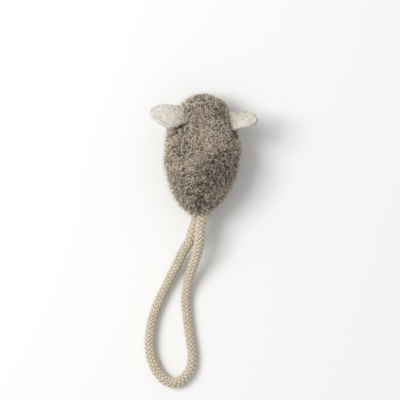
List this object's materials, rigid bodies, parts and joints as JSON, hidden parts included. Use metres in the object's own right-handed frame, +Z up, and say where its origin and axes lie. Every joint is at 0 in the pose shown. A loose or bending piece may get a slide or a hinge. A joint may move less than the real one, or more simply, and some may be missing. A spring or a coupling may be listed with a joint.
{
  "type": "catnip mouse",
  "caption": "Felted toy mouse filled with wadding and a catnip sachet, with felt ears that bend at the root and a braided rope loop for a tail that lifts and swings.",
  "frame": {"origin": "middle of the flat under the belly, on the floor", "axes": "+Y from tail to nose, +Z up from belly to back, +X to the right seen from above with the nose ahead"},
  "size_m": [0.0487, 0.1309, 0.0275],
  "materials": {
    "grey_felt": "fuzzy wool felt",
    "cream_felt": "soft wool felt",
    "cotton_rope": "braided cotton",
    "thread": "sewing thread",
    "wadding": "loose wadding",
    "muslin": "plain weave",
    "dried_herb": "dry crumbled leaf"
  },
  "bodies": {
    "body": {"felt_body": "grey_felt", "left_ear_thread": "thread", "right_ear_thread": "thread", "tail_knot": "cotton_rope", "tail_whipping": "thread", "head_wadding": "wadding", "rump_wadding": "wadding", "catnip_sachet": "muslin", "catnip_herb": "dried_herb", "sachet_tie": "thread"},
    "left_ear": {"left_ear": "cream_felt"},
    "right_ear": {"right_ear": "cream_felt"},
    "tail_root": {"tail_root": "cotton_rope"},
    "tail_loop": {"tail_loop": "cotton_rope"}
  },
  "joints": [
    {"name": "left_ear_bend", "type": "hinge", "parent": "body", "child": "left_ear", "pos_m": [-0.00659, 0.01844, 0.0182], "axis": [0.0708, 0.9078, -0.4134], "range_deg": [-30, 40], "stiffness_Nm_per_rad": 0.0006},
    {"name": "right_ear_bend", "type": "hinge", "parent": "body", "child": "right_ear", "pos_m": [0.01053, 0.0171, 0.01389], "axis": [-0.073, -0.9466, 0.3142], "range_deg": [-40, 25], "stiffness_Nm_per_rad": 0.0006},
    {"name": "tail_lift", "type": "hinge", "parent": "body", "child": "tail_root", "pos_m": [-0.0012, -0.02254, 0.011], "axis": [-1, 0, 0], "range_deg": [0, 50]},
    {"name": "tail_swing", "type": "hinge", "parent": "tail_root", "child": "tail_loop", "pos_m": [-0.0012, -0.03254, 0.011], "axis": [0, 0, 1], "range_deg": [-45, 45]}
  ]
}
